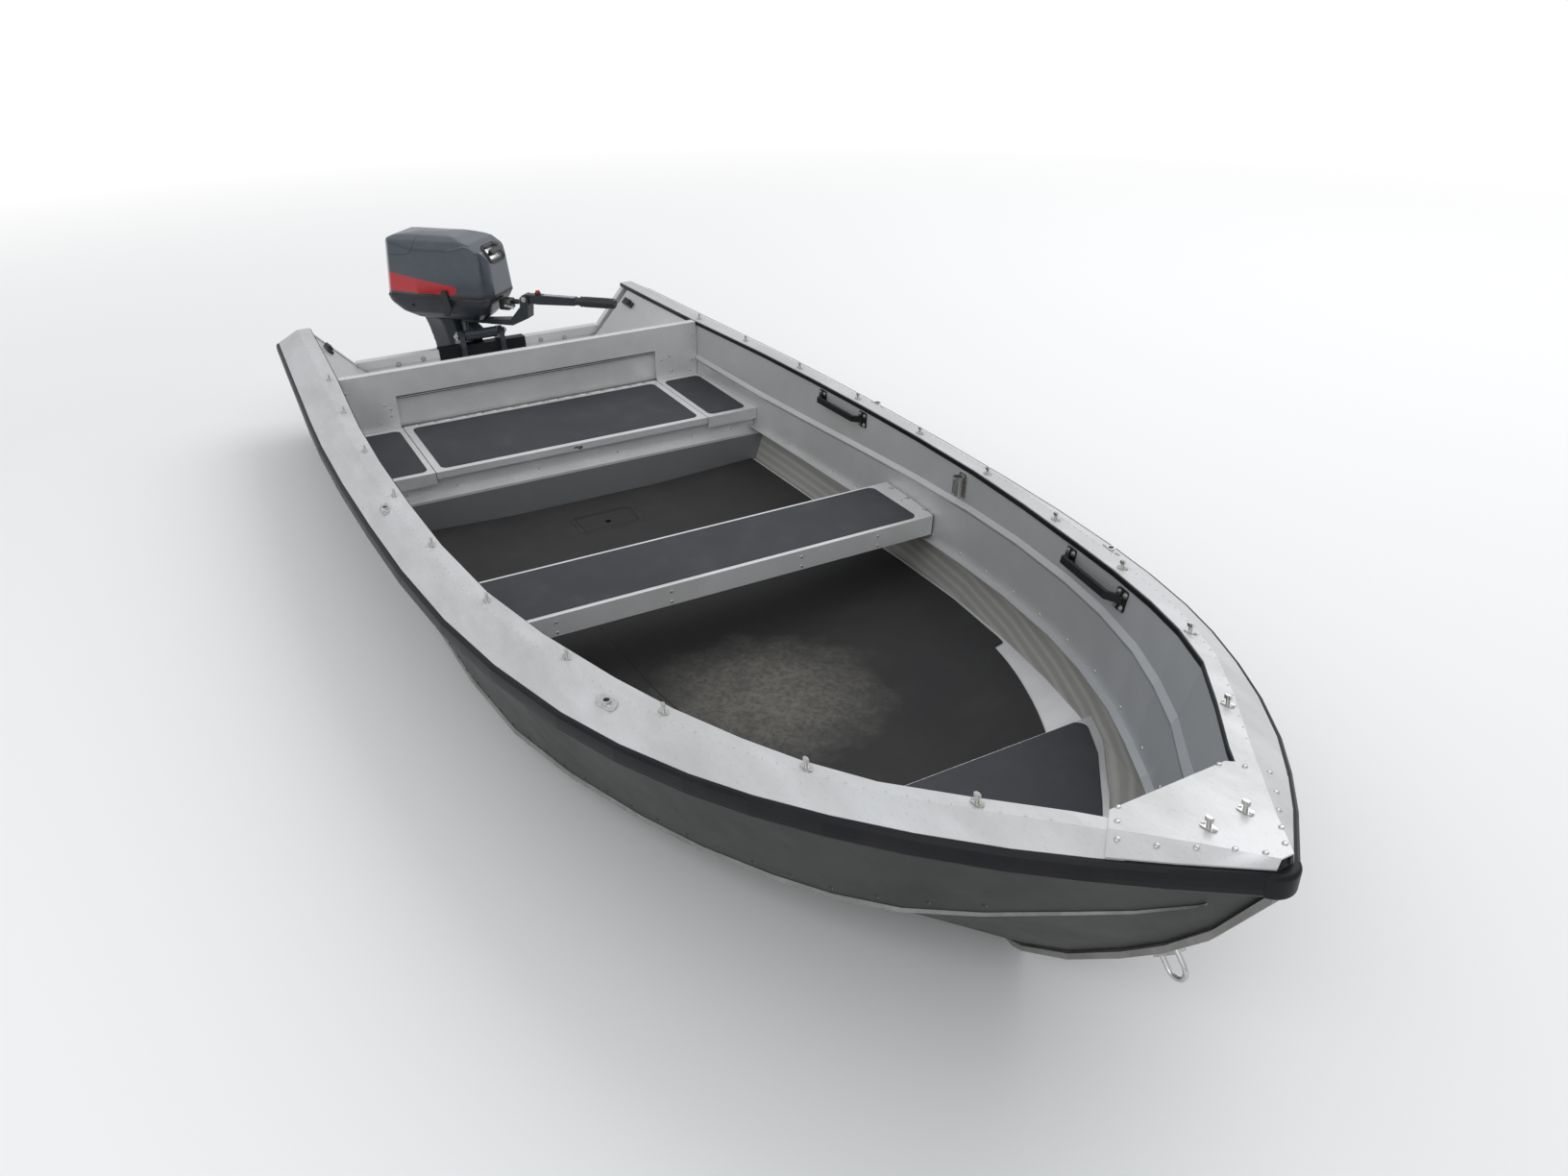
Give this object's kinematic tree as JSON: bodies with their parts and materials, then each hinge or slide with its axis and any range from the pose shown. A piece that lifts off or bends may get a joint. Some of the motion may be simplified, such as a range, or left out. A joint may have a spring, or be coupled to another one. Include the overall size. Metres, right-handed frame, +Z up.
{
  "type": "open aluminium fishing boat with outboard motor",
  "caption": "Open aluminium fishing boat with a stern bench locker, mid thwart, bow seat, splash well, rubber fender and a tiller-steered outboard motor on the transom.",
  "frame": {"origin": "on the centreline at the waterline, below the aft end of the gunwale", "axes": "+X towards the bow, +Y to port, +Z up"},
  "size_m": [4.7347, 1.7506, 1.09],
  "materials": {
    "hull": "worn",
    "bright": "satin",
    "liner": "satin",
    "rubber": "matt",
    "pad": "matt",
    "fitting": "satin",
    "black": "matt",
    "motor": "gloss",
    "iron": "cast"
  },
  "bodies": {
    "boat": {"hull_bottom": "hull", "hull_sides": "hull", "stem_and_keel": "bright", "chine_rails": "bright", "gunwales": "bright", "gunwale_edging": "rubber", "fender": "rubber", "side_panels": "liner", "transom": "hull", "transom_cap": "bright", "transom_pad": "black", "splash_well": "liner", "bulkhead": "bright", "back_panel": "liner", "bench_frame": "bright", "floor_plate": "bright", "floor_mat": "pad", "mid_thwart": "bright", "thwart_brackets": "bright", "bow_seat": "bright", "seat_pads": "pad", "bow_plate": "bright", "turn_buttons": "fitting", "rowlock_sockets": "fitting", "grab_handles": "black", "tube_holder": "fitting", "bow_eye": "fitting", "quarter_cleats": "black", "clamp_bracket": "motor", "clamp_screws": "fitting"},
    "lid": {"bench_lid": "bright", "bench_lid_pad": "pad"},
    "hatch": {"floor_hatch": "liner"},
    "swivel": {"swivel_bracket": "motor"},
    "motor": {"steering_bracket": "motor", "engine_block": "iron", "lower_cowl": "motor", "cowling": "motor", "starter_handle": "black", "shift_lever": "black", "leg": "motor", "gearcase": "motor"},
    "tiller": {"tiller_arm": "motor", "tiller_grip": "black"},
    "propeller": {"propeller": "motor"}
  },
  "joints": [
    {"name": "motor_tilt", "type": "hinge", "parent": "boat", "child": "swivel", "pos_m": [0.05014, 0, 0.318], "axis": [0, 1, 0], "range_deg": [0, 62]},
    {"name": "steering", "type": "hinge", "parent": "swivel", "child": "motor", "pos_m": [-0.08486, 0, 0.272], "axis": [0, 0, 1], "range_deg": [-90, 0]},
    {"name": "tiller_fold", "type": "hinge", "parent": "motor", "child": "tiller", "pos_m": [0.11737, 0.20223, 0.46], "axis": [0.7071, -0.7071, 0], "range_deg": [0, 99.2]},
    {"name": "propeller", "type": "hinge", "parent": "motor", "child": "propeller", "pos_m": [-0.26588, -0.18102, -0.25], "axis": [0.7071, 0.7071, 0], "continuous": true},
    {"name": "bench_lid", "type": "hinge", "parent": "boat", "child": "lid", "pos_m": [0.772, 0, 0.2205], "axis": [0, -1, 0], "range_deg": [0, 84]},
    {"name": "floor_hatch", "type": "hinge", "parent": "boat", "child": "hatch", "pos_m": [1.431, 0, 0.0113], "axis": [0, -1, 0], "range_deg": [0, 100]}
  ],
  "couplings": [
    {"joint": "tiller_fold", "follows": "motor_tilt", "ratio": 1.6}
  ]
}
